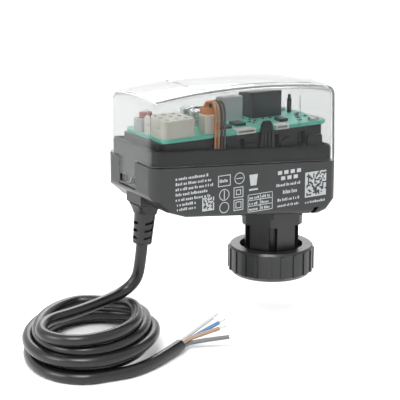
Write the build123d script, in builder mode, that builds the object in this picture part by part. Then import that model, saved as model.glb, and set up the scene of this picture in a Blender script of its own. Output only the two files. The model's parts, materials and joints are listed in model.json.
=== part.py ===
"""Small motorised valve actuator with a clear cover, a threaded union nut and a coiled lead.

Millimetres, +Z up. The origin is the centre of the union nut's lower face, where a valve
enters. X runs along the housing (the lead is at -X), and -Y is the marked front face.
"""

import os
from math import acos, cos, pi, radians, sin, tan

from build123d import *

os.makedirs("parts", exist_ok=True)

# ---------------------------------------------------------------- driving dimensions
LEFT, RIGHT = -74.4, 22.2  # ends of the housing
HALF_W = 21.3  # half of the housing's width
CORNER_R = 5.0  # plan corners
INSIDE = 3.15  # housing outside to its inner wall, stepped for the cover
CLEAR_WALL = 1.6  # clear cover
CLEAR_GAP = 0.4  # cover skirt to housing rim
MID_X = (LEFT + RIGHT) / 2
LENGTH = RIGHT - LEFT

SLOPE = 0.082  # fall of the parting line for each mm towards +X
SKIRT_Z0 = 56.6  # height of the skirt's lower edge at x = 0
RIM_Z0 = 62.3  # height of the housing's rim at x = 0

CROWN_Z = 93.4  # highest point of the cover
CROWN_X = -31.0  # where that is
CROWN_ARC_X = 330.0  # radius of the crown along X
CROWN_ARC_Y = 150.0  # radius of the crown across Y
COVER_TAPER = 1.2  # draft of the cover's walls, degrees

NECK_SEAT_Z = 29.0  # where the neck meets the housing
COLLAR_Z = 24.6  # underside of the neck's collar
COLLAR_FLAT = 13.7  # centre to flat
FINGER_FLAT = 12.2
FINGER_T = 2.3
SLOT_W = 3.8
HOOK_R = 16.2
NECK_FOOT_Z = 8.4

NUT_R = 20.0
NUT_H = 13.4
THREAD_R = 15.0  # M30 x 1.5, at its major diameter
THREAD_L = 8.0
NUT_LIP_R = 14.6
NUT_GROOVE_R = 16.8
NUT_LIP_T = 2.2
NUT_RIBS = 20

MODULE = 0.8
PRESSURE = 25.0  # degrees
ADDENDUM, DEDENDUM = 0.85, 1.15
BACKLASH = 0.18
OUTPUT_TEETH, WHEEL_TEETH, PINION_TEETH = 38, 30, 12
OUTPUT_Z, OUTPUT_T = 44.2, 5.0
WHEEL2_Z, WHEEL1_Z, WHEEL_T = 50.0, 53.4, 2.2
PLATE_Z, PLATE_T = 41.2, 1.6  # lower gear plate
CHASSIS_Z, CHASSIS_TOP = 57.2, 71.3
GEAR_PIN_R = 1.0
RUN = 0.06  # running clearance on a radius

STEM_R = 3.0
STEM_TOP = 55.5
FOOT_FLAT = 5.6
FOOT_Z, FOOT_TOP = 9.4, 18.0
STROKE = 5.5

BOARD_T = 1.6
BOARD_TOP = CHASSIS_TOP + BOARD_T
BOARD_LEFT, BOARD_RIGHT, BOARD_HALF = -66.8, 18.4, 16.6
FRAME_LEFT, FRAME_RIGHT = -68.4, 16.7

CABLE_D = 5.2
FLOOR_Z = -20.0  # the bench that the lead lies on, below the held actuator
RELIEF_TOP = (-66.8, 0.0, 37.6)
CABLE_EXIT = (-68.4, 0.0, 23.9)
COIL_CENTRE = (-96.2, -4.4)
COIL_LONG, COIL_SHORT, COIL_TURN = 35.6, 25.4, 55.0  # the oval turns' half axes and direction
COIL_WIDE = 9.4
COIL_TOP = -4.5

# The lead from the strain relief, over the coil, round its loose top turn and down on it.
LEAD_ROUTE = [
    (-68.4, 0.0, 23.9),
    (-69.45, 0.0, 14.9),
    (-70.6, 1.4, 6.8),
    (-76.2, 3.2, 1.6),
    (-88.0, 0.4, 0.0),
    (-104.0, -3.8, -0.9),
    (-119.6, -5.5, -1.4),
    (-127.7, -19.5, -1.7),
    (-119.6, -33.5, -1.8),
    (-103.4, -35.4, -1.8),
    (-89.3, -28.8, -1.8),
    (-79.2, -16.0, -1.9),
    (-74.0, -0.8, -2.6),
    (-74.6, 11.8, -6.0),
]
# The cut end, from under the coil to where its four cores come out.
TAIL_ROUTE = [
    (-107.0, -38.0, -17.4),
    (-97.0, -39.6, -17.4),
    (-86.6, -37.0, -17.4),
    (-76.0, -32.0, -17.1),
    (-64.0, -25.2, -16.6),
]
CORE_D = 1.8
CORES = {  # each core's place in the cut end, and the end of its insulation from there
    "core_white": ((0.95, 0.95), (22.0, 9.0, 5.7)),
    "core_blue": ((0.95, -0.95), (23.3, 5.7, 4.2)),
    "core_brown": ((-0.95, 0.95), (19.9, -0.2, 4.0)),
    "core_grey": ((-0.95, -0.95), (21.0, -6.8, 1.9)),
}


# ---------------------------------------------------------------- helpers
def save(part, name):
    """Labels one finished piece and writes its STEP file."""
    part.label = name
    export_step(part, f"parts/{name}.step")


def parting(z0, x):
    """Height at x of a line parallel to the slanted parting line."""
    return z0 - SLOPE * x


def wedge_below(z0, up=False):
    """A big block below (or above) the slanted plane through z0 at x = 0."""
    far = 60 if up else -80
    with BuildPart() as block:
        with BuildSketch(Plane.XZ):
            with BuildLine():
                Polyline(
                    (LEFT - 30, parting(z0, LEFT - 30)),
                    (RIGHT + 30, parting(z0, RIGHT + 30)),
                    (RIGHT + 30, z0 + far),
                    (LEFT - 30, z0 + far),
                    close=True,
                )
            make_face()
        extrude(amount=60, both=True)
    return block.part


def hex_plane(z):
    """A plane at height z whose X axis points at a flat of the neck's hexagon (one flat faces -Y)."""
    return Plane(origin=(0, 0, z), x_dir=(0, -1, 0), z_dir=(0, 0, 1))


def hexagon(flat):
    """A regular hexagon with its flats at the given distance, one of them across +X of its plane."""
    RegularPolygon(radius=flat, side_count=6, major_radius=False, rotation=30)


def involute(r, base):
    """Involute angle at radius r, in radians, and zero inside the base circle."""
    if r <= base:
        return 0.0
    angle = acos(base / r)
    return tan(angle) - angle


def gear_outline(teeth, phase):
    """Involute outline of a spur gear, with a tooth centred at phase degrees."""
    pitch = MODULE * teeth / 2
    base = pitch * cos(radians(PRESSURE))
    tip = pitch + ADDENDUM * MODULE
    root = pitch - DEDENDUM * MODULE
    half = pi / (2 * teeth) - BACKLASH / (2 * pitch) + involute(pitch, base)
    radii = [max(root, base), (base + pitch) / 2, pitch, (pitch + tip) / 2, tip]
    points = []
    for k in range(teeth):
        mid = radians(phase) + 2 * pi * k / teeth
        flank = [(r, half - involute(r, base)) for r in radii]
        root_half = 0.75 * flank[0][1] + 0.25 * pi / teeth
        tooth = [(root, -root_half)] + [(r, -a) for r, a in flank]
        tooth += [(r, a) for r, a in reversed(flank)] + [(root, root_half)]
        points += [(r * cos(mid + a), r * sin(mid + a)) for r, a in tooth]
    return points


def gear_face(teeth, phase):
    """A gear's face in the current sketch."""
    Polygon(*gear_outline(teeth, phase), align=None)


def mesh_phase(phase, teeth, mate_teeth, direction):
    """The phase that puts a mate in mesh with a gear, the mate lying in that direction."""
    ahead = (phase - direction) % (360 / teeth)
    return direction + 180 - ahead * teeth / mate_teeth + 180 / mate_teeth


def route_radii(points):
    """The arc radius at each corner of a cord's route: large enough to look bent, not kinked."""
    radii = []
    for a, b, c in zip(points, points[1:], points[2:]):
        one, two = Vector(*b) - Vector(*a), Vector(*c) - Vector(*b)
        turn = radians(one.get_angle(two))
        radii.append(0.45 * min(one.length, two.length) / tan(turn / 2))
    return radii


def tube(points, diameter):
    """A round cord along straight runs joined by tangent arcs."""
    with BuildPart() as made:
        with BuildLine() as line:
            if len(points) > 2:
                FilletPolyline(*points, radius=route_radii(points))
            else:
                Line(*points)
        path = line.wire()
        with BuildSketch(Plane(origin=path @ 0, z_dir=path % 0)):
            Circle(diameter / 2)
        sweep(path=path, transition=Transition.ROUND)
    share = made.part.volume / (pi * diameter**2 / 4 * path.length)
    print("tube", round(path.length, 1), "mm, volume share", round(share, 4))
    return made.part


# ---------------------------------------------------------------- lower housing
def housing_outline(inset):
    """Side outline of the lower housing, from the left end round the bottom to the right end."""
    return [
        (LEFT + inset, 90),
        (LEFT + inset, 48.6 + 0.5 * inset),
        (-67.0 + 0.6 * inset, 42.0 + 0.9 * inset),
        (-57.5 + 0.2 * inset, 38.6 + inset),
        (12.0 - 0.2 * inset, 30.6 + inset),
        (16.5 - 0.6 * inset, 31.8 + 0.9 * inset),
        (RIGHT - inset, 38.0 + 0.4 * inset),
        (RIGHT - inset, 90),
    ]


def housing_block(inset, edge_r):
    """The lower housing's full outer or inner form, before the parting line is cut."""
    with BuildPart() as block:
        with BuildSketch(Plane.XZ):
            with BuildLine():
                FilletPolyline(*housing_outline(inset), radius=edge_r + 0.8, close=True)
            make_face()
        extrude(amount=HALF_W - inset, both=True)
        fillet(block.faces().filter_by(Axis.Y).edges(), edge_r)
        with BuildSketch(Plane.XY.offset(20)):
            with Locations((MID_X, 0)):
                RectangleRounded(LENGTH - 2 * inset, 2 * (HALF_W - inset), CORNER_R - inset)
        extrude(amount=70, mode=Mode.INTERSECT)
    return block.part


def rim_step(rim_inset):
    """The ring cut away outside the rim, where the cover's skirt goes."""
    with BuildPart() as step:
        with BuildSketch(Plane.XY.offset(20)):
            Rectangle(300, 120)
            with Locations((MID_X, 0)):
                RectangleRounded(
                    LENGTH - 2 * rim_inset,
                    2 * (HALF_W - rim_inset),
                    CORNER_R - rim_inset,
                    mode=Mode.SUBTRACT,
                )
        extrude(amount=70)
        add(wedge_below(SKIRT_Z0 - 0.5), mode=Mode.SUBTRACT)
    return step.part


def lower_housing():
    """Open tray with a stepped rim, a pad for the neck and an opening for the lead's plug."""
    rim_inset = CLEAR_WALL + CLEAR_GAP
    with BuildPart() as tray:
        add(housing_block(0, 2.6))
        add(wedge_below(RIM_Z0, up=True), mode=Mode.SUBTRACT)
        add(rim_step(rim_inset), mode=Mode.SUBTRACT)
        add(housing_block(INSIDE, 0.8), mode=Mode.SUBTRACT)
        # bosses for the lower gear plate
        with BuildSketch(Plane.XY.offset(PLATE_Z)):
            with Locations(*PLATE_SCREWS):
                Circle(2.6)
        extrude(until=Until.NEXT, dir=(0, 0, -1), target=tray.part)
        with BuildSketch(Plane.XY.offset(PLATE_Z)):
            with Locations(*PLATE_SCREWS):
                Circle(0.95)
        extrude(amount=-2.6, mode=Mode.SUBTRACT)
        # opening and guide walls for the plug
        with BuildSketch(Plane.XY.offset(36)):
            with Locations(((PLUG_X0 + PLUG_X1) / 2, 0)):
                Rectangle(PLUG_X1 - PLUG_X0 + 4, 2 * PLUG_HALF + 4)
        extrude(amount=14)
        add(trim_outside(), mode=Mode.SUBTRACT)
        # pad and seat for the neck
        with BuildSketch(hex_plane(NECK_SEAT_Z)):
            hexagon(COLLAR_FLAT)
        extrude(amount=6)
        with BuildSketch(Plane.XY.offset(NECK_SEAT_Z - 5)):
            Circle(9.3)
        extrude(amount=14, mode=Mode.SUBTRACT)
        with BuildSketch(Plane.XY.offset(30)):
            with Locations(((PLUG_X0 + PLUG_X1) / 2, 0)):
                Rectangle(PLUG_X1 - PLUG_X0 + 0.3, 2 * PLUG_HALF + 0.3)
        extrude(amount=23, mode=Mode.SUBTRACT)
        # latch channel in the left end, under the cover's tongue
        with BuildSketch(Plane.YZ.offset(LEFT)):
            with Locations((TONGUE_Y, 59)):
                Rectangle(TONGUE_W + 0.4, 18.4)
        extrude(amount=rim_inset, mode=Mode.SUBTRACT)
        with BuildSketch(Plane.YZ.offset(LEFT + rim_inset)):
            with Locations((TONGUE_Y, 58.0)):
                Rectangle(TONGUE_W + 2, 15)
        extrude(amount=1.4)
        # two catches behind the tongue's windows
        with BuildSketch(Plane.YZ.offset(LEFT + rim_inset)):
            for y in WINDOW_YS:
                with Locations((y, WINDOW_Z)):
                    Rectangle(WINDOW_W - 1.2, WINDOW_H - 1.2)
        extrude(amount=-1.4)
        # vent slot at the right end of the front's lower edge
        with BuildSketch(Plane.XZ.offset(HALF_W - 4)):
            with BuildLine():
                Polyline((5.6, 29), (8.0, 29), (11.4, 34.2), (9.0, 34.2), close=True)
            make_face()
        extrude(amount=6, mode=Mode.SUBTRACT)
    return tray.part


def trim_outside():
    """Everything outside the lower housing's outer form, for trimming features built into its walls."""
    with BuildPart() as waste:
        with BuildSketch(Plane.XY.offset(10)):
            with Locations((MID_X, 0)):
                Rectangle(LENGTH + 60, 120)
        extrude(amount=44)
        add(housing_block(0, 2.6), mode=Mode.SUBTRACT)
    return waste.part


PLUG_X0, PLUG_X1, PLUG_HALF = -72.4, -61.4, 6.4
TONGUE_Y, TONGUE_W, TONGUE_FOOT = 2.0, 14.0, 50.6
WINDOW_YS, WINDOW_Z, WINDOW_W, WINDOW_H = (-2.2, 6.0), 53.0, 4.6, 3.4
PLATE_SCREWS = [(-33.0, 15.3), (-47.5, -14.8), (14.5, 13.0), (14.5, -13.0)]

# gear train centres: each mate stands at the sum of the pitch radii
GEAR2_DIR, GEAR1_DIR, MOTOR_DIR = 168.0, 207.0, 165.0
OUT_PITCH = MODULE * OUTPUT_TEETH / 2
WHEEL_PITCH = MODULE * WHEEL_TEETH / 2
PINION_PITCH = MODULE * PINION_TEETH / 2


def stepped(start, distance, direction):
    """The point at that distance and direction, in degrees, from start."""
    a = radians(direction)
    return (start[0] + distance * cos(a), start[1] + distance * sin(a))


GEAR2 = stepped((0, 0), OUT_PITCH + PINION_PITCH, GEAR2_DIR)
GEAR1 = stepped(GEAR2, WHEEL_PITCH + PINION_PITCH, GEAR1_DIR)
MOTOR = stepped(GEAR1, WHEEL_PITCH + PINION_PITCH, MOTOR_DIR)


# ---------------------------------------------------------------- clear cover
def crown(inset):
    """A block whose top is the cover's crown, arched along X and across Y."""
    top = CROWN_Z - inset
    rx, ry = CROWN_ARC_X - inset, CROWN_ARC_Y - inset
    half = HALF_W + 4
    sag = ry - (ry**2 - half**2) ** 0.5
    with BuildPart() as block:
        with BuildSketch(Plane(origin=(CROWN_X, 0, 0), x_dir=(0, 1, 0), z_dir=(1, 0, 0))):
            with BuildLine():
                ThreePointArc((-half, top - sag), (0, top), (half, top - sag))
                Polyline((half, top - sag), (half, 30), (-half, 30), (-half, top - sag))
            make_face()
        axis = Axis((CROWN_X, 0, top - rx), (0, 1, 0))
        revolve(axis=axis, revolution_arc=22)
    return block.part.rotate(axis, -11)


def cover_block(inset, edge_r):
    """The cover's outer or inner form: drafted walls under the crown, with a rounded top edge."""
    with BuildPart() as block:
        with BuildSketch(Plane.XY.offset(45)):
            with Locations((MID_X, 0)):
                RectangleRounded(LENGTH - 2 * inset, 2 * (HALF_W - inset), CORNER_R - inset)
        extrude(amount=13)
        with BuildSketch(Plane.XY.offset(58)):
            with Locations((MID_X, 0)):
                RectangleRounded(LENGTH - 2 * inset, 2 * (HALF_W - inset), CORNER_R - inset)
        extrude(amount=50, taper=COVER_TAPER)
        add(crown(inset), mode=Mode.INTERSECT)
        fillet(block.edges().filter_by(lambda e: e.center().Z > 80), edge_r)
    return block.part


def below_skirt():
    """Everything under the skirt's slanted edge, except the latch tongue."""
    with BuildPart() as waste:
        add(wedge_below(SKIRT_Z0))
        with BuildSketch(Plane.YZ.offset(LEFT - 2)):
            with Locations((TONGUE_Y, TONGUE_FOOT + 10)):
                RectangleRounded(TONGUE_W, 20, 0.6)
        extrude(amount=2 + CLEAR_WALL, mode=Mode.SUBTRACT)
    return waste.part


def crown_panel():
    """Low panel that stands 0.3 mm above the crown."""
    with BuildPart() as panel:
        with BuildSketch(Plane.XY.offset(80)):
            with Locations((MID_X + 8, 0)):
                RectangleRounded(62, 29, 4)
        extrude(amount=30)
        add(crown(-0.3), mode=Mode.INTERSECT)
        add(crown(0.8), mode=Mode.SUBTRACT)
    return panel.part


def clear_cover():
    """Clear hood with an overlapping skirt and a latch tongue with two windows."""
    with BuildPart() as hood:
        add(cover_block(0, 4.2))
        add(cover_block(CLEAR_WALL, 2.8), mode=Mode.SUBTRACT)
        add(below_skirt(), mode=Mode.SUBTRACT)
        with BuildSketch(Plane.YZ.offset(LEFT - 2)):
            for y in WINDOW_YS:
                with Locations((y, WINDOW_Z)):
                    Rectangle(WINDOW_W, WINDOW_H)
        extrude(amount=2 + CLEAR_WALL, mode=Mode.SUBTRACT)
        # low raised panel on the crown
        add(crown_panel())
        # stiffening rib inside the front wall
        with BuildSketch(Plane.XY.offset(65)):
            with Locations((1.3, -(HALF_W - CLEAR_WALL) + 0.2)):
                Rectangle(0.7, 1.4)
        extrude(amount=21)
    return hood.part


def cover_gasket():
    """Soft cord seal lying on the housing's shoulder, inside the rim."""
    outer = INSIDE + 0.2
    with BuildPart() as seal:
        with BuildSketch(Plane.XY.offset(40)):
            with Locations((MID_X, 0)):
                RectangleRounded(LENGTH - 2 * (outer - 1.2), 2 * (HALF_W - outer + 1.2), 3.6)
                RectangleRounded(
                    LENGTH - 2 * outer, 2 * (HALF_W - outer), 2.4, mode=Mode.SUBTRACT
                )
        extrude(amount=50)
        add(wedge_below(RIM_Z0), mode=Mode.SUBTRACT)
        add(wedge_below(RIM_Z0 + 0.8, up=True), mode=Mode.SUBTRACT)
    return seal.part


# ---------------------------------------------------------------- chassis and board
WALL_PADS = [(-35.0, 63.8, 6.4, 7.4), (-23.2, 63.4, 5.0, 7.4), (11.2, 62.4, 8.0, 8.6)]


def board_posts():
    """Snap posts that hold the board: x, width and which side."""
    return [(-14.8, 8.0, -1), (-44.0, 8.0, 1), (-2.0, 8.0, 1)]


def chassis():
    """Black frame over the gears: roof plate, walls, pads and ribbed snap posts for the board."""
    x0, x1, half = FRAME_LEFT, FRAME_RIGHT, 16.4
    mid, span = (x0 + x1) / 2, x1 - x0
    with BuildPart() as frame:
        with BuildSketch(Plane.XY.offset(CHASSIS_Z)):
            with Locations((mid, 0)):
                RectangleRounded(span, 2 * half, 3)
        extrude(amount=CHASSIS_TOP - CHASSIS_Z)
        with BuildSketch(Plane.XY.offset(CHASSIS_Z + 2)):
            with Locations((mid, 0)):
                RectangleRounded(span - 3.6, 2 * half - 3.6, 2)
        extrude(amount=20, mode=Mode.SUBTRACT)
        with BuildSketch(Plane.XY.offset(CHASSIS_Z)):  # cross walls under the board
            for x in (-47.0, -20.0, 4.0):
                with Locations((x, 0)):
                    Rectangle(1.6, 2 * half - 1)
        extrude(amount=CHASSIS_TOP - CHASSIS_Z)
        # openings in the front wall, which read as darker bays
        with BuildSketch(Plane.XZ.offset(half - 3)):
            for x, w in ((-27.0, 2.2), (-8.8, 2.4), (4.2, 4.0)):
                with Locations((x, 65.2)):
                    Rectangle(w, 8.0)
        extrude(amount=5, mode=Mode.SUBTRACT)
        # pads on the front wall
        with BuildSketch(Plane.XZ.offset(half)):
            for x, z, w, h in WALL_PADS:
                with Locations((x, z)):
                    RectangleRounded(w, h, 0.8)
            with BuildLine():
                Polyline(
                    (-7.6, 58.0), (-1.8, 58.0), (-1.8, 67.6), (-3.8, 67.6), (-7.6, 65.4), close=True
                )
            make_face()
        extrude(amount=0.9)
        # the lead's socket stands through the roof at the left end
        with BuildSketch(Plane.XY.offset(CHASSIS_Z - 1)):
            with Locations((-63.0, 0)):
                Rectangle(9.6, 13.0)
            with Locations((0, 0)):
                Circle(STEM_R + 1.4)
        extrude(amount=4, mode=Mode.SUBTRACT)
        with BuildSketch(Plane.XY.offset(CHASSIS_Z + 1)):  # lead-through notch in the front wall
            with Locations((-39.0, -half)):
                Rectangle(7.6, 5.0)
        extrude(amount=CHASSIS_TOP, mode=Mode.SUBTRACT)
        # pillars down to the lower gear plate
        with BuildSketch(Plane.XY.offset(PLATE_Z + PLATE_T)):
            with Locations(*PLATE_SCREWS):
                Circle(2.4)
        extrude(amount=CHASSIS_Z - PLATE_Z - PLATE_T)
        # blind seats for the gear pins and clearance for the motor's screws
        with BuildSketch(Plane.XY.offset(CHASSIS_Z)):
            with Locations(GEAR2, GEAR1):
                Circle(GEAR_PIN_R)
        extrude(amount=1.4, mode=Mode.SUBTRACT)
        with BuildSketch(Plane.XY.offset(CHASSIS_Z)):
            with Locations(*MOTOR_SCREWS):
                Circle(2.2)
        extrude(amount=-(CHASSIS_Z - MOTOR_TOP - 0.8))
        with BuildSketch(Plane.XY.offset(MOTOR_TOP + 0.8)):
            with Locations(*MOTOR_SCREWS):
                Circle(1.0)
        extrude(amount=6, mode=Mode.SUBTRACT)
        for x, width, side in board_posts():
            add(snap_post(x, width, side))
    return frame.part


def snap_post(x, width, side):
    """Tapered post beside the board's edge, with a hooked head and ribs on its outer face."""
    inner, outer = 16.2, 17.8
    with BuildPart() as post:
        with BuildSketch(Plane.XZ.offset(-side * outer)):
            with BuildLine():
                Polyline(
                    (x - width / 2, 59.0),
                    (x + width / 2, 59.0),
                    (x + width / 2 - 0.3, 67.0),
                    (x + width * 0.32, 74.6),
                    (x + width * 0.18, 76.0),
                    (x - width * 0.18, 76.0),
                    (x - width * 0.32, 74.6),
                    (x - width / 2 + 0.3, 67.0),
                    close=True,
                )
            make_face()
        extrude(amount=side * (outer - inner))
        if width > 5:  # ribs between narrow grooves
            with BuildSketch(Plane.XZ.offset(-side * (outer + 1))):
                for k in (-1, 0, 1):
                    with Locations((x + k * 1.9, 65.6)):
                        Rectangle(0.7, 12.0)
            extrude(amount=side * 1.6, mode=Mode.SUBTRACT)
    return post.part


def circuit_board():
    """Board with clipped corners, notches for the posts and the lead-through."""
    with BuildPart() as board:
        with BuildSketch(Plane.XY.offset(CHASSIS_TOP)):
            with Locations(((BOARD_LEFT + BOARD_RIGHT) / 2, 0)):
                RectangleRounded(BOARD_RIGHT - BOARD_LEFT, 2 * BOARD_HALF, 3.0)
            for x, width, side in board_posts():
                with Locations((x, side * BOARD_HALF)):
                    Rectangle(width + 0.4, 2 * (BOARD_HALF - 16.1), mode=Mode.SUBTRACT)
            with Locations(*BOARD_SCREWS):
                Circle(1.4, mode=Mode.SUBTRACT)
            for x, w in EDGE_SOCKETS:
                with Locations((x, -BOARD_HALF)):
                    Rectangle(w + 0.1, 2 * (BOARD_HALF - 12.5), mode=Mode.SUBTRACT)
            with Locations((-39.0, -BOARD_HALF)):
                Rectangle(7.2, 2 * (BOARD_HALF - 15.8), mode=Mode.SUBTRACT)
        extrude(amount=BOARD_T)
    return board.part


BOARD_SCREWS = [(-52.0, 13.4), (13.0, 13.4), (13.0, -13.2)]
EDGE_SOCKETS = [(-25.4, 9.6), (-6.4, 6.8)]
CHIPS = [  # x, y, width and depth
    (-33.0, -5.6, 9.0, 9.0),
    (-22.4, -5.0, 5.0, 6.2),
    (-0.6, -7.4, 4.0, 5.0),
    (-50.0, 6.4, 5.0, 4.0),
]
MOTOR_R, MOTOR_BOTTOM, MOTOR_TOP = 8.0, 43.4, 50.6
MOTOR_SCREWS = [stepped(MOTOR, 12.0, 60), stepped(MOTOR, 12.0, 240)]


def box_on_board(x0, x1, y0, y1, height, edge=0.5, lift=0.0):
    """A moulded block standing on the board."""
    with BuildPart() as block:
        with BuildSketch(Plane.XY.offset(BOARD_TOP + lift)):
            with Locations(((x0 + x1) / 2, (y0 + y1) / 2)):
                Rectangle(x1 - x0, y1 - y0)
        extrude(amount=height)
        if edge:
            fillet(block.edges().filter_by(Axis.Z), edge)
            chamfer(block.faces().sort_by(Axis.Z)[-1].edges(), min(edge, 0.6) * 0.8)
    return block.part


def write_board_parts():
    """The electronics that stand on the board."""
    save(circuit_board(), "circuit_board")
    # cream socket of the lead, at the board's left end
    with BuildPart() as socket:
        add(box_on_board(-66.6, -50.0, -16.0, 1.0, 7.8, edge=2.6))
        with BuildSketch(Plane.YZ.offset(-66.6)):  # groove along its end
            with Locations((-7.5, BOARD_TOP + 4.4)):
                Rectangle(10.0, 0.8)
        extrude(amount=0.6, mode=Mode.SUBTRACT)
        with BuildSketch(Plane.XY.offset(BOARD_TOP + 7.8)):  # pin wells
            with Locations((-58.3, -7.5)):
                with GridLocations(4.6, 5.2, 3, 3):
                    Circle(1.1)
        extrude(amount=-1.6, mode=Mode.SUBTRACT)
    save(socket.part, "lead_socket")
    with BuildPart() as switch:
        add(box_on_board(-66.2, -59.8, 3.2, 9.6, 5.6, edge=0.6))
        with BuildSketch(Plane.XY.offset(BOARD_TOP + 5.6)):
            with Locations((-63.0, 6.4)):
                Circle(2.2)
        extrude(amount=-2.8, mode=Mode.SUBTRACT)
    save(switch.part, "reset_switch_body")
    with BuildPart() as button:
        with BuildSketch(Plane.XY.offset(BOARD_TOP + 3.6)):
            with Locations((-63.0, 6.4)):
                Circle(1.9)
        extrude(amount=4.6)
        fillet(button.faces().sort_by(Axis.Z)[-1].edges(), 0.5)
    save(button.part, "reset_button")
    # motor lead header and its plug
    save(box_on_board(-45.4, -39.6, -15.4, -9.4, 8.4, edge=0.5), "motor_header")
    with BuildPart() as plug:
        add(box_on_board(-44.9, -39.7, -15.0, -9.8, 2.8, edge=0.4, lift=8.4))
    save(plug.part, "motor_lead_plug")
    save(box_on_board(-9.6, 6.4, 2.4, 14.6, 12.6, edge=0.5), "power_relay")
    save(box_on_board(-23.6, -13.6, 4.0, 12.0, 11.0, edge=0.8), "film_capacitor")
    save(box_on_board(-34.4, -27.4, 5.6, 13.0, 6.4, edge=0.8), "choke_block")
    with BuildPart() as cans:
        with BuildSketch(Plane.XY.offset(BOARD_TOP)):
            with Locations((-39.0, 3.0), (-39.0, 11.0)):
                Circle(3.1)
        extrude(amount=7.2)
        fillet(cans.faces().group_by(Axis.Z)[-1].edges(), 0.5)
    save(cans.part, "electrolytic_capacitors")
    with BuildPart() as chips:
        with BuildSketch(Plane.XY.offset(BOARD_TOP)):
            for x, y, w, h in CHIPS:
                with Locations((x, y)):
                    Rectangle(w, h)
        extrude(amount=1.3)
    save(chips.part, "board_chips")
    with BuildPart() as stud:
        with BuildSketch(Plane.XY.offset(BOARD_TOP)):
            with Locations((13.4, 6.6)):
                Circle(1.1)
        extrude(amount=6.6)
        with BuildSketch(Plane.XY.offset(BOARD_TOP + 6.6)):
            with Locations((13.4, 6.6)):
                Circle(0.7)
        extrude(amount=2.0)
    save(stud.part, "status_light")
    for number, (x, w) in enumerate(EDGE_SOCKETS, 1):
        with BuildPart() as edge:
            with BuildSketch(Plane.XY.offset(CHASSIS_TOP)):
                with Locations((x, -(12.6 + BOARD_HALF + 0.5) / 2)):
                    Rectangle(w, BOARD_HALF + 0.5 - 12.6)
            extrude(amount=BOARD_T + 0.5)
            with BuildSketch(Plane.XZ.offset(BOARD_HALF + 0.5)):
                with Locations((x, CHASSIS_TOP + 1.05)):
                    Rectangle(w - 1.4, 0.8)
            extrude(amount=-3, mode=Mode.SUBTRACT)
        save(edge.part, f"edge_socket_{number}")
    with BuildPart() as screws:
        with BuildSketch(Plane.XY.offset(BOARD_TOP)):
            with Locations(*BOARD_SCREWS):
                Circle(2.4)
        extrude(amount=1.5)
        fillet(screws.faces().group_by(Axis.Z)[-1].edges(), 0.6)
        with BuildSketch(Plane.XY.offset(BOARD_TOP + 1.5)):
            with Locations(*BOARD_SCREWS):
                Rectangle(2.8, 0.5)
                Rectangle(0.5, 2.8)
        extrude(amount=-0.8, mode=Mode.SUBTRACT)
        with BuildSketch(Plane.XY.offset(CHASSIS_TOP + 0.2)):
            with Locations(*BOARD_SCREWS):
                Circle(1.3)
        extrude(amount=BOARD_T - 0.2)
    save(screws.part, "board_screws")


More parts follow.
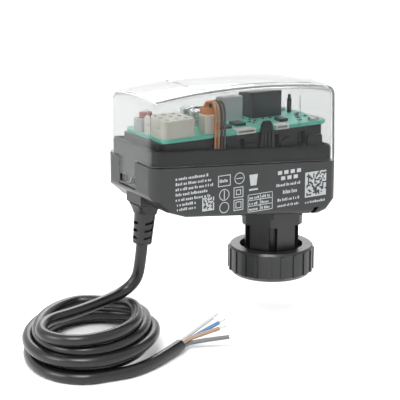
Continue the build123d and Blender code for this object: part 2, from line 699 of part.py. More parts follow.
# ---------------------------------------------------------------- gears, motor and stem
def write_drive():
    """Motor, reduction gears, pins, plate and the output stem."""
    out_phase = 0.0
    pin2_phase = mesh_phase(out_phase, OUTPUT_TEETH, PINION_TEETH, GEAR2_DIR)
    pin1_phase = mesh_phase(0.0, WHEEL_TEETH, PINION_TEETH, GEAR1_DIR)
    motor_phase = mesh_phase(0.0, WHEEL_TEETH, PINION_TEETH, MOTOR_DIR)
    with BuildPart() as output:
        with BuildSketch(Plane.XY.offset(OUTPUT_Z)):
            gear_face(OUTPUT_TEETH, out_phase)
            with PolarLocations(9.4, 6):
                Circle(2.2, mode=Mode.SUBTRACT)
        extrude(amount=OUTPUT_T)
        with BuildSketch(Plane.XY.offset(PLATE_Z + PLATE_T + 0.8)):
            Circle(5.6)
        extrude(amount=OUTPUT_Z + OUTPUT_T + 6.6 - PLATE_Z - PLATE_T - 0.8)
        with BuildSketch(Plane.XY.offset(PLATE_Z)):
            Circle(STEM_R + RUN)
        extrude(amount=30, mode=Mode.SUBTRACT)
    save(output.part, "output_gear")
    second = [("second_gear", GEAR2, pin2_phase, OUTPUT_Z - 0.3, WHEEL2_Z)]
    first = [("first_gear", GEAR1, pin1_phase, WHEEL2_Z - 0.4, WHEEL1_Z)]
    for name, centre, phase, low, wheel_z in second + first:
        with BuildPart() as gear:
            with BuildSketch(Plane.XY.offset(low)):
                gear_face(PINION_TEETH, phase)
            extrude(amount=wheel_z - low)
            with BuildSketch(Plane.XY.offset(wheel_z)):
                gear_face(WHEEL_TEETH, 0.0)
                with PolarLocations(8.2, 5):
                    Circle(1.7, mode=Mode.SUBTRACT)
            extrude(amount=WHEEL_T)
            with BuildSketch(Plane.XY.offset(low)):
                Circle(GEAR_PIN_R + RUN)
            extrude(amount=30, mode=Mode.SUBTRACT)
        save(gear.part.moved(Location((*centre, 0))), name)
    with BuildPart() as pins:
        with BuildSketch(Plane.XY.offset(PLATE_Z)):
            with Locations(GEAR2, GEAR1):
                Circle(GEAR_PIN_R)
        extrude(amount=CHASSIS_Z + 1.2 - PLATE_Z)
    save(pins.part, "gear_pins")
    with BuildPart() as rotor:
        with BuildSketch(Plane.XY.offset(MOTOR_TOP + 1.0)):
            gear_face(PINION_TEETH, motor_phase)
        extrude(amount=4.2)
        with BuildSketch(Plane.XY.offset(MOTOR_BOTTOM + 1.4)):
            Circle(0.9)
        extrude(amount=MOTOR_TOP - MOTOR_BOTTOM + 4.6)
        with BuildSketch(Plane.XY.offset(MOTOR_BOTTOM + 1.4)):
            Circle(5.4)
        extrude(amount=3.6)
    save(rotor.part.moved(Location((*MOTOR, 0))), "motor_rotor")
    with BuildPart() as can:
        with BuildSketch(Plane.XY.offset(MOTOR_BOTTOM)):
            with Locations(MOTOR):
                Circle(MOTOR_R)
        extrude(amount=MOTOR_TOP - MOTOR_BOTTOM)
        with BuildSketch(Plane.XY.offset(MOTOR_TOP)):
            with Locations(MOTOR):
                SlotCenterToCenter(24.0, 5.4, rotation=60)
            with Locations(*MOTOR_SCREWS):
                Circle(1.0, mode=Mode.SUBTRACT)
        extrude(amount=0.7)
        with BuildSketch(Plane.XY.offset(MOTOR_BOTTOM + 1.0)):
            with Locations(MOTOR):
                Circle(5.8)
        extrude(amount=5.0, mode=Mode.SUBTRACT)
        with BuildSketch(Plane.XY.offset(MOTOR_TOP - 2)):
            with Locations(MOTOR):
                Circle(0.9 + RUN)
        extrude(amount=5, mode=Mode.SUBTRACT)
    save(can.part, "motor_can")
    with BuildPart() as screws:
        with BuildSketch(Plane.XY.offset(MOTOR_TOP - 1.4)):
            with Locations(*MOTOR_SCREWS):
                Circle(1.9)
        extrude(amount=1.3)
        with BuildSketch(Plane.XY.offset(MOTOR_TOP - 0.1)):
            with Locations(*MOTOR_SCREWS):
                Circle(0.95)
        extrude(amount=5.0)
    save(screws.part, "motor_screws")
    with BuildPart() as plate:
        with BuildSketch(Plane.XY.offset(PLATE_Z)):
            with Locations((-13.0, 0)):
                RectangleRounded(60, 35, 4)
            with Locations((-40.0, -12.3)):
                RectangleRounded(22, 10.4, 3)
            with Locations(GEAR2, GEAR1):
                Circle(GEAR_PIN_R, mode=Mode.SUBTRACT)
            with Locations(*PLATE_SCREWS):
                Circle(1.2, mode=Mode.SUBTRACT)
            Circle(STEM_R + 0.5, mode=Mode.SUBTRACT)
            with Locations((-14.0, -11.0), (-28.0, 11.0)):
                SlotOverall(16, 5, mode=Mode.SUBTRACT)
        extrude(amount=PLATE_T)
    save(plate.part, "gear_plate")
    with BuildPart() as plate_screws:
        with BuildSketch(Plane.XY.offset(PLATE_Z - 2.4)):
            with Locations(*PLATE_SCREWS):
                Circle(0.9)
        extrude(amount=PLATE_T + 2.4)
    save(plate_screws.part, "plate_screws")
    with BuildPart() as washer:
        with BuildSketch(Plane.XY.offset(PLATE_Z + PLATE_T)):
            Circle(6.4)
            Circle(STEM_R + 0.5, mode=Mode.SUBTRACT)
        extrude(amount=0.75)
    save(washer.part, "thrust_washer")
    with BuildPart() as stem:
        with BuildSketch(Plane.XY.offset(FOOT_TOP)):
            Circle(STEM_R)
        extrude(amount=STEM_TOP - FOOT_TOP)
        chamfer(stem.faces().sort_by(Axis.Z)[-1].edges(), 0.5)
    save(stem.part, "drive_stem")
    with BuildPart() as foot:
        with BuildSketch(hex_plane(FOOT_Z)):
            hexagon(FOOT_FLAT)
        extrude(amount=FOOT_TOP - FOOT_Z)
        chamfer(foot.faces().sort_by(Axis.Z)[0].edges(), 0.8)
    save(foot.part, "pressure_foot")


# ---------------------------------------------------------------- neck and nut
def valve_neck():
    """Hexagonal neck: collar, six slotted snap fingers, an inner guide tube and a top spigot."""
    with BuildPart() as neck:
        with BuildSketch(hex_plane(COLLAR_Z)):
            hexagon(COLLAR_FLAT)
        extrude(amount=NECK_SEAT_Z - COLLAR_Z)
        chamfer(neck.edges().filter_by(Axis.Z), 1.6)
        with BuildSketch(hex_plane(NECK_FOOT_Z)):
            hexagon(FINGER_FLAT)
            hexagon_inner(FINGER_FLAT - FINGER_T)
        extrude(amount=COLLAR_Z - NECK_FOOT_Z)
        with BuildSketch(Plane.XY.offset(NECK_FOOT_Z)):  # hooks under the nut's lip
            Circle(HOOK_R)
            Circle(FINGER_FLAT - FINGER_T + 0.2, mode=Mode.SUBTRACT)
        extrude(amount=2.2)
        with BuildSketch(Plane.XY.offset(NECK_FOOT_Z)):  # slots at the hexagon's corners
            with PolarLocations(FINGER_FLAT, 6):
                Rectangle(14, SLOT_W)
        extrude(amount=COLLAR_Z - NECK_FOOT_Z, mode=Mode.SUBTRACT)
        with BuildSketch(Plane.XY.offset(NECK_FOOT_Z + 0.8)):  # guide tube
            Circle(8.6)
        extrude(amount=COLLAR_Z - NECK_FOOT_Z - 0.8)
        with BuildSketch(Plane.XY.offset(NECK_SEAT_Z)):  # spigot in the housing's pad
            Circle(9.3)
        extrude(amount=PLATE_Z - NECK_SEAT_Z)
        with BuildSketch(hex_plane(NECK_FOOT_Z)):  # hexagonal guide for the foot
            hexagon(FOOT_FLAT + 0.2)
        extrude(amount=FOOT_TOP - NECK_FOOT_Z + 1.0, mode=Mode.SUBTRACT)
        with BuildSketch(Plane.XY.offset(NECK_FOOT_Z)):
            Circle(BUSH_R)
        extrude(amount=40, mode=Mode.SUBTRACT)
    return neck.part


BUSH_R = 4.6


def hexagon_inner(flat):
    """Cuts a hexagon from the current sketch."""
    RegularPolygon(radius=flat, side_count=6, major_radius=False, rotation=30, mode=Mode.SUBTRACT)


def union_nut():
    """Ribbed union nut with a plain bore at the thread's major diameter, a groove and a lip."""
    with BuildPart() as nut:
        with BuildSketch(Plane.XZ):
            with BuildLine():
                Polyline(
                    (THREAD_R, 0),
                    (NUT_R - 2.2, 0),
                    (NUT_R - 0.5, 1.8),
                    (NUT_R - 0.5, NUT_H - 1.0),
                    (NUT_R - 1.2, NUT_H),
                    (NUT_LIP_R, NUT_H),
                    (NUT_LIP_R, NUT_H - NUT_LIP_T),
                    (NUT_GROOVE_R, NUT_H - NUT_LIP_T),
                    (NUT_GROOVE_R, THREAD_L),
                    (THREAD_R, THREAD_L),
                    close=True,
                )
            make_face()
        revolve(axis=Axis.Z)
        with BuildSketch(Plane.XY.offset(1.8)):  # raised grip bars
            with PolarLocations(NUT_R - 0.85, NUT_RIBS):
                SlotOverall(1.7, 1.69, rotation=90)
                Rectangle(1.7, 1.7)
        extrude(amount=NUT_H - 3.0)
    return nut.part


def neck_bush():
    """Bronze bush that guides the stem in the neck."""
    with BuildPart() as bush:
        with BuildSketch(Plane.XY.offset(FOOT_TOP + 1.2)):
            Circle(BUSH_R)
            Circle(STEM_R + RUN, mode=Mode.SUBTRACT)
        extrude(amount=PLATE_Z - FOOT_TOP - 1.2)
    return bush.part


# ---------------------------------------------------------------- plug, strain relief, lead
def lead_plug():
    """Moulded plug in the housing's lower left end, tapering to the strain relief."""
    with BuildPart() as plug:
        with BuildSketch(Plane.XY.offset(41.8)):
            with Locations(((PLUG_X0 + PLUG_X1) / 2, 0)):
                Rectangle(PLUG_X1 - PLUG_X0, 2 * PLUG_HALF)
        extrude(amount=8.0)
        chamfer(plug.faces().sort_by(Axis.Z)[0].edges(), 0.8)
        with BuildSketch(relief_plane(0)):
            Circle(5.2)
        with BuildSketch(Plane.XY.offset(42.0)):
            with Locations(((PLUG_X0 + PLUG_X1) / 2, 0)):
                RectangleRounded(10.8, 10.8, 1.6)
        loft()
    return plug.part


def relief_plane(along):
    """The strain relief's cross plane, along mm below its top, facing down the lead."""
    top, foot = Vector(*RELIEF_TOP), Vector(*CABLE_EXIT)
    down = (foot - top).normalized()
    return Plane(origin=top + down * along, x_dir=(0, 1, 0), z_dir=down)


def strain_relief():
    """Tapered, slotted bend protector moulded on the lead."""
    length = (Vector(*CABLE_EXIT) - Vector(*RELIEF_TOP)).length
    with BuildPart() as relief:
        with BuildSketch(relief_plane(0)):
            Circle(4.75)
        with BuildSketch(relief_plane(length)):
            Circle(4.2)
        loft()
        fillet(relief.faces().sort_by(Axis.Z)[0].edges(), 0.5)
        for along in (3.2, 6.5, 9.8):  # alternating windows between the rings
            for angle in (0, 90, 180, 270):
                plane = relief_plane(along).rotated((0, 0, angle))
                with BuildSketch(plane):
                    with Locations((4.4, 0)):
                        Rectangle(2.4, 4.0)
                extrude(amount=1.3, mode=Mode.SUBTRACT)
    return relief.part


def cable_coil():
    """Outer shape of the oval coil, lying on the bench."""
    with BuildPart() as ring:
        with BuildSketch(Plane.XY.offset(FLOOR_Z)):
            with Locations(Location((*COIL_CENTRE, 0), COIL_TURN)):
                SlotCenterToCenter(2 * (COIL_LONG - COIL_SHORT), 2 * COIL_SHORT + COIL_WIDE)
                SlotCenterToCenter(
                    2 * (COIL_LONG - COIL_SHORT), 2 * COIL_SHORT - COIL_WIDE, mode=Mode.SUBTRACT
                )
        extrude(amount=COIL_TOP - FLOOR_Z)
        fillet(ring.edges(), 2.4)
    return ring.part


def write_cores():
    """The four stripped cores and their tinned tips at the cut end."""
    end = Vector(*TAIL_ROUTE[-1])
    way = (end - Vector(*TAIL_ROUTE[-2])).normalized()
    side = Vector(-way.Y, way.X, 0).normalized()
    tips = []
    for name, ((across, up), tip) in CORES.items():
        a = end + side * across + Vector(0, 0, up) + way * 0.05
        b = a + way * 5.6
        d = end + Vector(*tip)
        c = b + (d - b) * 0.5 + way * 0.9 + side * (0.25 * across)
        save(tube([tuple(a), tuple(b), tuple(c), tuple(d)], CORE_D), name)
        tips.append(tube([tuple(d), tuple(d + (d - c).normalized() * 3.4)], 1.0))
    with BuildPart() as tinned:
        for tip in tips:
            add(tip)
    save(tinned.part, "core_tips")


MOTOR_LEADS = {"orange": -41.4, "cream": -39.8, "brown": -38.2, "grey": -36.6}


def write_motor_leads():
    """Four leads from the board's header, over the board's front edge, down to a terminal block."""
    for colour, x in MOTOR_LEADS.items():
        start = -42.3 + 0.78 * (x + 39.0)
        points = [
            (start, -12.8, BOARD_TOP + 11.2),
            (start + 0.3, -13.2, BOARD_TOP + 13.9),
            (x - 0.8, -16.2, BOARD_TOP + 14.1),
            (x, -17.15, BOARD_TOP + 9.8),
            (x + 0.1, -17.05, 73.0),
            (x, -16.9, 67.0),
            (x, -16.4, 62.2),
        ]
        save(tube(points, 1.1), f"motor_lead_{colour}")
    with BuildPart() as block:
        with BuildSketch(Plane.XY.offset(CHASSIS_Z + 2)):
            with Locations((-39.0, -14.2)):
                Rectangle(6.6, 5.2)
        extrude(amount=3.0)
        chamfer(block.faces().sort_by(Axis.Z)[-1].edges(), 0.3)
    save(block.part, "motor_terminal_block")


# ---------------------------------------------------------------- write everything
save(lower_housing(), "lower_housing")
save(clear_cover(), "clear_cover")
save(cover_gasket(), "cover_gasket")
save(chassis(), "chassis")
write_board_parts()
write_drive()
save(valve_neck(), "valve_neck")
save(union_nut(), "union_nut")
save(neck_bush(), "neck_bush")
save(lead_plug(), "lead_plug")
save(strain_relief(), "strain_relief")
save(tube(LEAD_ROUTE, CABLE_D), "cable_lead")
save(cable_coil(), "cable_coil")
save(tube(TAIL_ROUTE, CABLE_D), "cable_tail")
write_cores()
write_motor_leads()
print("lead radii", [round(r, 1) for r in route_radii(LEAD_ROUTE)])
print("tail radii", [round(r, 1) for r in route_radii(TAIL_ROUTE)])
print("gear centres", GEAR2, GEAR1, MOTOR)
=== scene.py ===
"""Looks of the valve actuator: camera, lead, materials, front marks, small board parts and thread.

Routes and marks are in millimetres, and are turned into metres by MM where a mesh is made.
"""

import json
import random
from math import cos, pi, radians, sin, tau

import bmesh
import bpy
from mathutils import Matrix, Vector


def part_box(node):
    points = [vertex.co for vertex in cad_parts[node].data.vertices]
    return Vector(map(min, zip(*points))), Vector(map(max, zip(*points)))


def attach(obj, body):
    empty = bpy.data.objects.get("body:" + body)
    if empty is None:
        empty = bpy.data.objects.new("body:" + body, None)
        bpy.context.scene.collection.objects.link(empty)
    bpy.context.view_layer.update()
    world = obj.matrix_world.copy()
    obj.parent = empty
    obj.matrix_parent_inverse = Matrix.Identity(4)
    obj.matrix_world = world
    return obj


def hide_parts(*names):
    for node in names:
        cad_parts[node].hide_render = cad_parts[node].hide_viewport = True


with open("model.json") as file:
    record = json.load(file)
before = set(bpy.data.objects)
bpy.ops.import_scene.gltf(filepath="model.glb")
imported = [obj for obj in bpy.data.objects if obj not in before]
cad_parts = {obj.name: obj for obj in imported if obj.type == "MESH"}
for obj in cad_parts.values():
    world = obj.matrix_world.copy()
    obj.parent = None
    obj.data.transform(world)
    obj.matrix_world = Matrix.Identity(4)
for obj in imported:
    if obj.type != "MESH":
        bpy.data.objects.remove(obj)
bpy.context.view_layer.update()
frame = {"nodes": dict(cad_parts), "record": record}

MM = 0.001
BENCH_Z = -20 * MM
FRONT_Y = -21.3 * MM  # the marked face
CABLE_D = 5.2 * MM

# ---------------------------------------------------------------- camera
camera = bpy.data.objects.new("camera", bpy.data.cameras.new("camera"))
bpy.context.collection.objects.link(camera)
camera.location = (-0.3573, -0.5272, 0.2036)
camera.rotation_euler = (radians(90 - 14.93), 0, radians(-31.15))
camera.data.lens = 128.2
camera.data.sensor_width = 36
bpy.context.scene.camera = camera

# ---------------------------------------------------------------- the lead
LEAD_ROUTE = [
    (-68.4, 0.0, 23.9),
    (-69.45, 0.0, 14.9),
    (-70.6, 1.4, 6.8),
    (-76.2, 3.2, 1.6),
    (-88.0, 0.4, 0.0),
    (-104.0, -3.8, -0.9),
    (-119.6, -5.5, -1.4),
    (-127.7, -19.5, -1.7),
    (-119.6, -33.5, -1.8),
    (-103.4, -35.4, -1.8),
    (-89.3, -28.8, -1.8),
    (-79.2, -16.0, -1.9),
    (-74.0, -0.8, -2.6),
    (-74.6, 11.8, -6.0),
]
TAIL_ROUTE = [
    (-107.0, -38.0, -17.4),
    (-97.0, -39.6, -17.4),
    (-86.6, -37.0, -17.4),
    (-76.0, -32.0, -17.1),
    (-64.0, -25.2, -16.6),
]
COIL_CENTRE = (-96.2, -4.4)
COIL_LONG, COIL_SHORT, COIL_TURN = 35.6, 25.4, radians(55)
LEVELS = [-7.2, -10.6, -14.0, -17.4]  # heights of the coil's turns
SWAY = [-1.9, 1.9, -1.7, 2.0]  # the turns lie alternately inside and outside
STEPS = 18  # points in each turn
FIRST, LAST = 0.06, 3.52  # where the coil starts and ends, in turns


def eased(values, turns):
    """The turn's own value, easing into the next turn's over the last quarter turn."""
    k = int(turns)
    part = min(max((turns - k - 0.75) / 0.25, 0), 1)
    after = values[min(k + 1, len(values) - 1)]
    return values[k] + (after - values[k]) * part * part * (3 - 2 * part)


def coil_point(turns):
    """A point of the coiled stretch, in millimetres."""
    a = tau * turns
    out = eased(SWAY, turns) + 0.35 * sin(2.3 * a + 0.7)
    u = (COIL_LONG + out) * cos(a)
    v = (COIL_SHORT + out) * sin(a)
    x = COIL_CENTRE[0] + u * cos(COIL_TURN) - v * sin(COIL_TURN)
    y = COIL_CENTRE[1] + u * sin(COIL_TURN) + v * cos(COIL_TURN)
    return (x, y, eased(LEVELS, turns))


def nurbs(name, points_mm, radius, resolution=8):
    """A round NURBS cord through a list of control points in millimetres."""
    data = bpy.data.curves.new(name, "CURVE")
    data.dimensions = "3D"
    data.bevel_depth = 1.0  # each point's own radius sets the thickness, so the curve's box is true
    data.bevel_resolution = 6
    data.resolution_u = resolution
    data.use_fill_caps = True
    spline = data.splines.new("NURBS")
    spline.points.add(len(points_mm) - 1)
    for point, (x, y, z) in zip(spline.points, points_mm):
        point.co = (x * MM, y * MM, z * MM, 1)
        point.radius = radius
    spline.order_u = 3
    spline.use_endpoint_u = True
    piece = bpy.data.objects.new(name, data)
    bpy.context.collection.objects.link(piece)
    return piece


count = round((LAST - FIRST) * STEPS)
turns_route = [coil_point(FIRST + (LAST - FIRST) * k / count) for k in range(count + 1)]
lead = nurbs("lead", LEAD_ROUTE + turns_route + TAIL_ROUTE, CABLE_D / 2)
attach(lead, "actuator")
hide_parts("cable_lead", "cable_coil", "cable_tail")


# ---------------------------------------------------------------- materials
def nodes_of(name):
    """A new material's node tree and its shader."""
    material = bpy.data.materials.new(name)
    material.use_nodes = True
    tree = material.node_tree
    return material, tree, tree.nodes["Principled BSDF"]


def noise(tree, scale, detail=4.0, stretch=(1, 1, 1)):
    """A noise texture in object space. scale is in cycles per metre."""
    place = tree.nodes.new("ShaderNodeTexCoord")
    mapping = tree.nodes.new("ShaderNodeMapping")
    mapping.inputs["Scale"].default_value = stretch
    texture = tree.nodes.new("ShaderNodeTexNoise")
    texture.inputs["Scale"].default_value = scale
    texture.inputs["Detail"].default_value = detail
    tree.links.new(place.outputs["Object"], mapping.inputs["Vector"])
    tree.links.new(mapping.outputs["Vector"], texture.inputs["Vector"])
    return texture.outputs["Fac"]


def span(tree, value, low, high):
    """value spread over low..high."""
    spread = tree.nodes.new("ShaderNodeMapRange")
    spread.inputs["From Min"].default_value = 0.3
    spread.inputs["From Max"].default_value = 0.7
    spread.inputs["To Min"].default_value = low
    spread.inputs["To Max"].default_value = high
    tree.links.new(value, spread.inputs["Value"])
    return spread.outputs["Result"]


def between(tree, factor, one, two):
    """A colour between two, by factor."""
    mix = tree.nodes.new("ShaderNodeMix")
    mix.data_type = "RGBA"
    mix.inputs["A"].default_value = (*one, 1)
    mix.inputs["B"].default_value = (*two, 1)
    tree.links.new(factor, mix.inputs["Factor"])
    return mix.outputs["Result"]


def bump(tree, shader, height, strength, distance):
    """Relief on the shader's normal."""
    relief = tree.nodes.new("ShaderNodeBump")
    relief.inputs["Strength"].default_value = strength
    relief.inputs["Distance"].default_value = distance
    tree.links.new(height, relief.inputs["Height"])
    tree.links.new(relief.outputs["Normal"], shader.inputs["Normal"])


GRAIN_HEIGHT = 0.04 * MM  # relief of moulded surfaces and of the board's tracks


def moulded(name, colour, rough, grain=2600, relief=0.12, shift=0.12):
    """A moulded plastic or rubber with a fine grain, and faint cloudiness in colour and gloss."""
    material, tree, shader = nodes_of(name)
    cloud = span(tree, noise(tree, 90), 0, 1)
    dark = tuple(c * (1 - shift) for c in colour)
    light = tuple(min(c * (1 + shift), 1) for c in colour)
    tree.links.new(between(tree, cloud, dark, light), shader.inputs["Base Color"])
    gloss = span(tree, noise(tree, 240), rough - 0.04, rough + 0.05)
    tree.links.new(gloss, shader.inputs["Roughness"])
    bump(tree, shader, noise(tree, grain, 2.0), relief, GRAIN_HEIGHT)
    return material


def metal(name, colour, rough, stretch=(1, 1, 1)):
    """A metal with fine marks that run one way."""
    material, tree, shader = nodes_of(name)
    shader.inputs["Metallic"].default_value = 1
    marks = noise(tree, 900, 3.0, stretch)
    dull = tuple(c * 0.85 for c in colour)
    tree.links.new(between(tree, marks, dull, colour), shader.inputs["Base Color"])
    tree.links.new(span(tree, marks, rough - 0.06, rough + 0.08), shader.inputs["Roughness"])
    bump(tree, shader, marks, 0.06, 0.00003)
    return material


def clear_plastic(name):
    """Clear, slightly grey polycarbonate with faint flow lines; hazier at grazing angles, where the colour
    also turns white as a painted highlight along the edges.
    """
    material, tree, shader = nodes_of(name)
    edge = tree.nodes.new("ShaderNodeLayerWeight")
    edge.inputs["Blend"].default_value = 0.5
    haze_and_highlight_rise, painted_highlight_rise = tree.nodes.new("ShaderNodeMath"), tree.nodes.new("ShaderNodeMath")
    for curve, power in ((haze_and_highlight_rise, 3.0), (painted_highlight_rise, 9.0)):
        curve.operation = "POWER"
        curve.inputs[1].default_value = power
        tree.links.new(edge.outputs["Facing"], curve.inputs[0])
    # Painted highlight: the base colour goes from the grey tint to white at grazing angles, drawing white
    # lines along the cover's edges.
    tint_and_painted_highlight = between(tree, painted_highlight_rise.outputs["Value"], (0.66, 0.67, 0.665), (0.98, 0.98, 0.98))
    tree.links.new(tint_and_painted_highlight, shader.inputs["Base Color"])
    # Transmission falls at grazing angles: a milky haze which, with the white colour there, also forms the
    # painted edge highlight.
    haze_and_painted_highlight = tree.nodes.new("ShaderNodeMapRange")
    haze_and_painted_highlight.inputs["To Min"].default_value = 0.995
    haze_and_painted_highlight.inputs["To Max"].default_value = 0.45
    tree.links.new(haze_and_highlight_rise.outputs["Value"], haze_and_painted_highlight.inputs["Value"])
    tree.links.new(haze_and_painted_highlight.outputs["Result"], shader.inputs["Transmission Weight"])
    shader.inputs["IOR"].default_value = 1.14
    shader.inputs["Sheen Weight"].default_value = 0.05
    shader.inputs["Sheen Roughness"].default_value = 0.25
    flow = noise(tree, 60, 2.0, (1, 1, 3))
    tree.links.new(span(tree, flow, 0.01, 0.035), shader.inputs["Roughness"])
    bump(tree, shader, flow, 0.03, 0.0001)
    return material


def board_material(name):
    """Green solder mask over faint tracks, with a dull gloss."""
    material, tree, shader = nodes_of(name)
    place = tree.nodes.new("ShaderNodeTexCoord")
    bricks = tree.nodes.new("ShaderNodeTexBrick")
    bricks.inputs["Scale"].default_value = 320
    bricks.inputs["Mortar Size"].default_value = 0.06
    bricks.inputs["Color1"].default_value = (0.1, 0.52, 0.4, 1)
    bricks.inputs["Color2"].default_value = (0.12, 0.55, 0.43, 1)
    bricks.inputs["Mortar"].default_value = (0.2, 0.64, 0.52, 1)
    tree.links.new(place.outputs["Object"], bricks.inputs["Vector"])
    tree.links.new(bricks.outputs["Color"], shader.inputs["Base Color"])
    tree.links.new(span(tree, noise(tree, 500), 0.28, 0.42), shader.inputs["Roughness"])
    bump(tree, shader, bricks.outputs["Fac"], 0.15, GRAIN_HEIGHT)
    return material


LOOKS = {
    "charcoal_plastic": moulded(
        "charcoal_plastic", (0.0115, 0.012, 0.0125), 0.34, grain=2200, relief=0.06
    ),
    "clear_plastic": clear_plastic("clear_plastic"),
    "black_plastic": moulded("black_plastic", (0.006, 0.006, 0.0065), 0.4, relief=0.05),
    "board_green": board_material("board_green"),
    "cream_plastic": moulded("cream_plastic", (0.62, 0.6, 0.53), 0.38, relief=0.06, shift=0.05),
    "white_plastic": moulded("white_plastic", (0.7, 0.7, 0.67), 0.4, relief=0.06, shift=0.04),
    "orange_plastic": moulded("orange_plastic", (0.62, 0.24, 0.09), 0.36, relief=0.06, shift=0.08),
    "brown_plastic": moulded("brown_plastic", (0.12, 0.05, 0.03), 0.36, relief=0.06),
    "tan_plastic": moulded("tan_plastic", (0.52, 0.33, 0.2), 0.36, relief=0.06, shift=0.05),
    "grey_plastic": moulded("grey_plastic", (0.42, 0.43, 0.44), 0.42, relief=0.08, shift=0.06),
    "dark_grey_plastic": moulded("dark_grey_plastic", (0.05, 0.05, 0.055), 0.4, relief=0.08),
    "red_plastic": moulded("red_plastic", (0.36, 0.06, 0.08), 0.32, relief=0.05, shift=0.06),
    "rubber_black": moulded("rubber_black", (0.006, 0.006, 0.006), 0.6, grain=1800, relief=0.1),
    "cable_black": moulded("cable_black", (0.0055, 0.0055, 0.006), 0.3, grain=1500, relief=0.08, shift=0.2),
    "core_white": moulded("core_white", (0.5, 0.51, 0.51), 0.36, relief=0.05, shift=0.04),
    "core_blue": moulded("core_blue", (0.09, 0.19, 0.36), 0.34, relief=0.05, shift=0.08),
    "core_brown": moulded("core_brown", (0.33, 0.22, 0.15), 0.36, relief=0.05, shift=0.08),
    "core_grey": moulded("core_grey", (0.12, 0.12, 0.125), 0.38, relief=0.05, shift=0.08),
    "gear_plastic": moulded("gear_plastic", (0.75, 0.73, 0.64), 0.36, relief=0.05, shift=0.04),
    "tinned_wire": metal("tinned_wire", (0.74, 0.73, 0.7), 0.28),
    "steel": metal("steel", (0.6, 0.6, 0.61), 0.3, (1, 6, 1)),
    "bronze": metal("bronze", (0.55, 0.38, 0.18), 0.38),
    "brass_pinion": metal("brass_pinion", (0.72, 0.55, 0.25), 0.25),
    "aluminium": metal("aluminium", (0.78, 0.78, 0.79), 0.25, (1, 1, 5)),
}
for entry in frame["record"]["subparts"]:
    node = frame["nodes"][entry["node"]]
    for holder in node.material_slots:
        holder.material = LOOKS[entry["material_slot"]]
lead.data.materials.append(LOOKS["cable_black"])


# ---------------------------------------------------------------- mesh helpers
def mesh_piece(name, bm, body, slot, material=None):
    """Turns a bmesh into a piece that rides on a body and takes a slot's finish."""
    data = bpy.data.meshes.new(name)
    bm.to_mesh(data)
    bm.free()
    piece = bpy.data.objects.new(name, data)
    bpy.context.collection.objects.link(piece)
    data.materials.append(material or LOOKS[slot])
    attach(piece, body)
    return piece


def prism(bm, outline, height, place):
    """A closed outline raised by height along its own Z, put in place by a matrix."""
    low = [bm.verts.new(place @ Vector((x, y, 0))) for x, y in outline]
    top = [bm.verts.new(place @ Vector((x, y, height))) for x, y in outline]
    bm.faces.new(low[::-1])
    bm.faces.new(top)
    n = len(outline)
    for i in range(n):
        bm.faces.new((low[i], low[(i + 1) % n], top[(i + 1) % n], top[i]))


def rectangle(x0, z0, x1, z1):
    """A rectangle's outline."""
    return [(x0, z0), (x1, z0), (x1, z1), (x0, z1)]


# ---------------------------------------------------------------- marks on the front face
FRONT = Matrix(((1, 0, 0, 0), (0, 0, -1, FRONT_Y + 0.01 * MM), (0, 1, 0, 0), (0, 0, 0, 1)))
MARK_T = 0.05 * MM


def mark(bm, x0, z0, x1, z1):
    """A filled mark between two corners given in millimetres."""
    prism(bm, [(x * MM, z * MM) for x, z in rectangle(x0, z0, x1, z1)], MARK_T, FRONT)


def frame_mark(bm, x0, z0, x1, z1, line=0.35):
    """A rectangle's outline as four strokes."""
    mark(bm, x0, z0, x1, z0 + line)
    mark(bm, x0, z1 - line, x1, z1)
    mark(bm, x0, z0 + line, x0 + line, z1 - line)
    mark(bm, x1 - line, z0 + line, x1, z1 - line)


def ring_mark(bm, x, z, radius, line=0.35, steps=28):
    """A ring of short strokes."""
    for k in range(steps):
        a, b = tau * k / steps, tau * (k + 1) / steps
        corners = [(radius, a), (radius, b), (radius - line, b), (radius - line, a)]
        outline = [((x + r * cos(t)) * MM, (z + r * sin(t)) * MM) for r, t in corners]
        prism(bm, outline[::-1], MARK_T, FRONT)


def text_bars(bm, x0, x1, z, height, dice):
    """A line of small blocks, spaced like words but saying nothing."""
    x = x0
    while x < x1 - 0.6:
        width = min(dice.choice((0.5, 0.6, 0.8, 0.45)), x1 - x)
        tall = height * dice.choice((0.72, 1.0, 0.72))
        mark(bm, x, z, x + width, z + tall)
        x += width + dice.choice((0.28, 0.28, 0.3, 0.75))


def dot_square(bm, x0, z0, side, cells, dice):
    """A square of chance cells inside an L-shaped border."""
    cell = side / cells
    last = cells - 1
    for i in range(cells):
        for j in range(cells):
            edge = i == 0 or j == 0 or (i == last and j % 2) or (j == last and i % 2)
            if edge or dice.random() < 0.46:
                x, z = x0 + i * cell, z0 + j * cell
                mark(bm, x, z, x0 + (i + 0.98) * cell, z0 + (j + 0.98) * cell)


dice = random.Random(7)
marks = bmesh.new()
for line, z in enumerate((56.0, 53.7, 51.4, 49.1, 46.8)):
    text_bars(marks, -63.6, -47.2 + 1.4 * (line % 3), z, 1.25, dice)
for z in (44.6, 42.5):
    text_bars(marks, -63.0, -53.0, z, 1.2, dice)
dot_square(marks, -50.4, 40.6, 6.0, 10, dice)
frame_mark(marks, -42.4, 50.4, -36.0, 55.4)
text_bars(marks, -41.6, -36.8, 52.2, 1.4, dice)
ring_mark(marks, -31.4, 53.0, 2.6)
mark(marks, -33.0, 52.8, -29.8, 53.2)
ring_mark(marks, -39.2, 46.6, 2.6)
mark(marks, -39.4, 44.6, -39.0, 48.6)
frame_mark(marks, -34.4, 44.4, -29.4, 49.2)
frame_mark(marks, -33.2, 45.6, -30.6, 48.0)
ring_mark(marks, -39.2, 40.9, 2.5)
frame_mark(marks, -34.4, 38.6, -29.4, 43.6)
frame_mark(marks, -33.4, 39.6, -30.4, 42.6)
beaker = [(-25.6, 48.8), (-22.6, 48.8), (-21.9, 53.8), (-26.3, 53.8)]
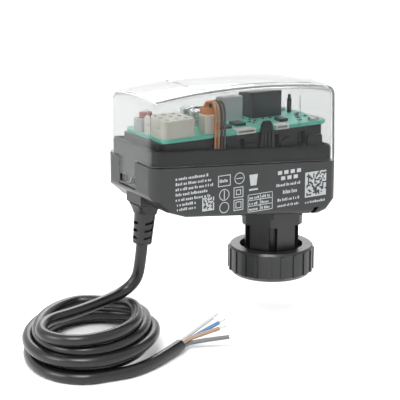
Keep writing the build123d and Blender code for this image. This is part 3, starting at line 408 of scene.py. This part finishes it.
prism(marks, [(x * MM, z * MM) for x, z in beaker], MARK_T, FRONT)
mark(marks, -26.4, 46.6, -21.8, 47.4)
for x in (-27.0, -20.6, -14.2):
    mark(marks, x, 36.9, x + 0.3, 44.9)
for z in (36.8, 39.4, 42.0, 44.6):
    mark(marks, -27.0, z, -13.9, z + 0.3)
for z in (37.5, 40.1, 42.7):
    text_bars(marks, -26.2, -21.2, z, 1.2, dice)
    text_bars(marks, -19.8, -14.8, z, 1.2, dice)
for row, z in enumerate((51.8, 49.2)):
    for k in range(4 - row):
        mark(marks, -11.2 + 3.4 * k + 1.7 * row, z, -9.0 + 3.4 * k + 1.7 * row, z + 1.7)
text_bars(marks, -12.0, 1.6, 46.4, 1.3, dice)
text_bars(marks, -8.4, -0.6, 42.8, 1.8, dice)
text_bars(marks, -11.2, 1.0, 39.6, 1.3, dice)
text_bars(marks, -11.2, 0.4, 37.0, 1.1, dice)
dot_square(marks, 3.6, 39.4, 11.6, 16, dice)
text_bars(marks, 3.8, 15.0, 36.6, 1.1, dice)
ink = moulded("mark_ink", (0.36, 0.38, 0.39), 0.5, relief=0.05, shift=0.1)
mesh_piece("front_marks", marks, "actuator", "grey_plastic", ink)


# ---------------------------------------------------------------- small parts on the board
BOARD_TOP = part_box("circuit_board")[1][2]
KEEP = [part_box(n) for n in (  # boxes to keep clear: the larger parts on the board
    "lead_socket", "reset_switch_body", "motor_header", "power_relay", "film_capacitor", "choke_block",
    "status_light", "edge_socket_1", "edge_socket_2",
)]
KEEP += [((x * MM, y * MM, 0), (x * MM, y * MM, 0)) for x, y in (  # and round parts, chips, screws
    (-39, 3), (-39, 11), (-33, -5.6), (-22.4, -5), (-0.6, -7.4), (-50, 6.4), (-52, 13.4),
    (13, 13.4), (13, -13.2), (-44, 16), (-2, 16), (-39, -16),
)]


def free_spot(x, y, room):
    """True if a small part at x, y stands clear of the larger ones."""
    for low, high in KEEP:
        spare = room + (4.6 * MM if low == high else 0.8 * MM)
        if low[0] - spare < x < high[0] + spare and low[1] - spare < y < high[1] + spare:
            return False
    return True


def small_block(bm, x, y, w, d, h):
    """A small part's body, its top edges drawn in a little."""
    corners = ((-1, -1), (1, -1), (1, 1), (-1, 1))
    low = [bm.verts.new((x + a * w / 2, y + b * d / 2, BOARD_TOP)) for a, b in corners]
    ring = [bm.verts.new((v.co.x, v.co.y, v.co.z + h * 0.8)) for v in low]
    top = [
        bm.verts.new((x + (v.co.x - x) * 0.86, y + (v.co.y - y) * 0.86, v.co.z + h)) for v in low
    ]
    bm.faces.new(low[::-1])
    bm.faces.new(top)
    for i in range(4):
        j = (i + 1) % 4
        bm.faces.new((low[i], low[j], ring[j], ring[i]))
        bm.faces.new((ring[i], ring[j], top[j], top[i]))


CHIP_LONG, CHIP_SHORT = 1.7 * MM, 0.95 * MM
bodies, ends = bmesh.new(), bmesh.new()
for _ in range(240):
    x, y = dice.uniform(-56, 15) * MM, dice.uniform(-11.5, 14.5) * MM
    if not free_spot(x, y, 1.3 * MM):
        continue
    along = dice.random() < 0.5
    w, d = (CHIP_LONG, CHIP_SHORT) if along else (CHIP_SHORT, CHIP_LONG)
    small_block(bodies, x, y, w, d, 0.55 * MM)
    for side in (-1, 1):
        ox, oy = (side * 0.85 * MM, 0) if along else (0, side * 0.85 * MM)
        end_w, end_d = (w * 0.34, d) if along else (w, d * 0.34)
        small_block(ends, x + ox, y + oy, end_w, end_d, 0.6 * MM)
    KEEP.append(((x - w, y - d, 0), (x + w, y + d, 1)))
mesh_piece("board_small_parts", bodies, "actuator", "dark_grey_plastic")
mesh_piece("board_small_ends", ends, "actuator", "tinned_wire")

# ---------------------------------------------------------------- thread inside the nut
THREAD_R, PITCH, DEPTH = 15.0, 1.5, 0.85
thread = bmesh.new()
steps, start, stop = 72, 0.9, 7.0
rows = []
total = int((stop - start) / PITCH * steps)
for k in range(total + 1):
    a = tau * k / steps
    z = start + PITCH * k / steps
    fade = min(1, 6 * k / steps, 6 * (total - k) / steps)
    rows.append([
        thread.verts.new((r * cos(a) * MM, r * sin(a) * MM, (z + dz) * MM))
        for r, dz in (
            (THREAD_R + 0.02, -0.62),
            (THREAD_R - DEPTH * fade, -0.08),
            (THREAD_R - DEPTH * fade, 0.08),
            (THREAD_R + 0.02, 0.62),
        )
    ])
for one, two in zip(rows, rows[1:]):
    for i in range(3):
        thread.faces.new((one[i], two[i], two[i + 1], one[i + 1]))
mesh_piece("nut_thread", thread, "nut", "charcoal_plastic")

# ---------------------------------------------------------------- floor and light
floor_mesh = bmesh.new()
bmesh.ops.create_grid(floor_mesh, x_segments=2, y_segments=2, size=6)
floor_data = bpy.data.meshes.new("floor")
floor_mesh.to_mesh(floor_data)
floor_mesh.free()
floor = bpy.data.objects.new("floor", floor_data)
bpy.context.collection.objects.link(floor)
floor.location.z = BENCH_Z
pale, _, shader = nodes_of("floor_pale")
shader.inputs["Base Color"].default_value = (0.93, 0.93, 0.93, 1)
shader.inputs["Roughness"].default_value = 0.9
floor_data.materials.append(pale)

world = bpy.data.worlds.new("studio")
world.use_nodes = True
world.node_tree.nodes["Background"].inputs["Color"].default_value = (1, 1, 1, 1)
world.node_tree.nodes["Background"].inputs["Strength"].default_value = 1.0
bpy.context.scene.world = world
bpy.context.scene.view_settings.view_transform = "Standard"  # keeps the plain background white


def softbox(name, at, size, watts, aim=(-0.03, 0, 0.04)):
    """A square soft light aimed at the object."""
    light = bpy.data.lights.new(name, "AREA")
    light.shape = "SQUARE"
    light.size = size
    light.energy = watts
    lamp = bpy.data.objects.new(name, light)
    bpy.context.collection.objects.link(lamp)
    lamp.location = at
    lamp.rotation_euler = (Vector(aim) - Vector(at)).to_track_quat("-Z", "Y").to_euler()
    return lamp


softbox("key", (-0.5, -0.5, 0.9), 0.5, 9)
softbox("left_fill", (-1.1, 0.1, 0.5), 0.6, 6)
softbox("back_rim", (0.4, 0.8, 0.7), 0.6, 6)
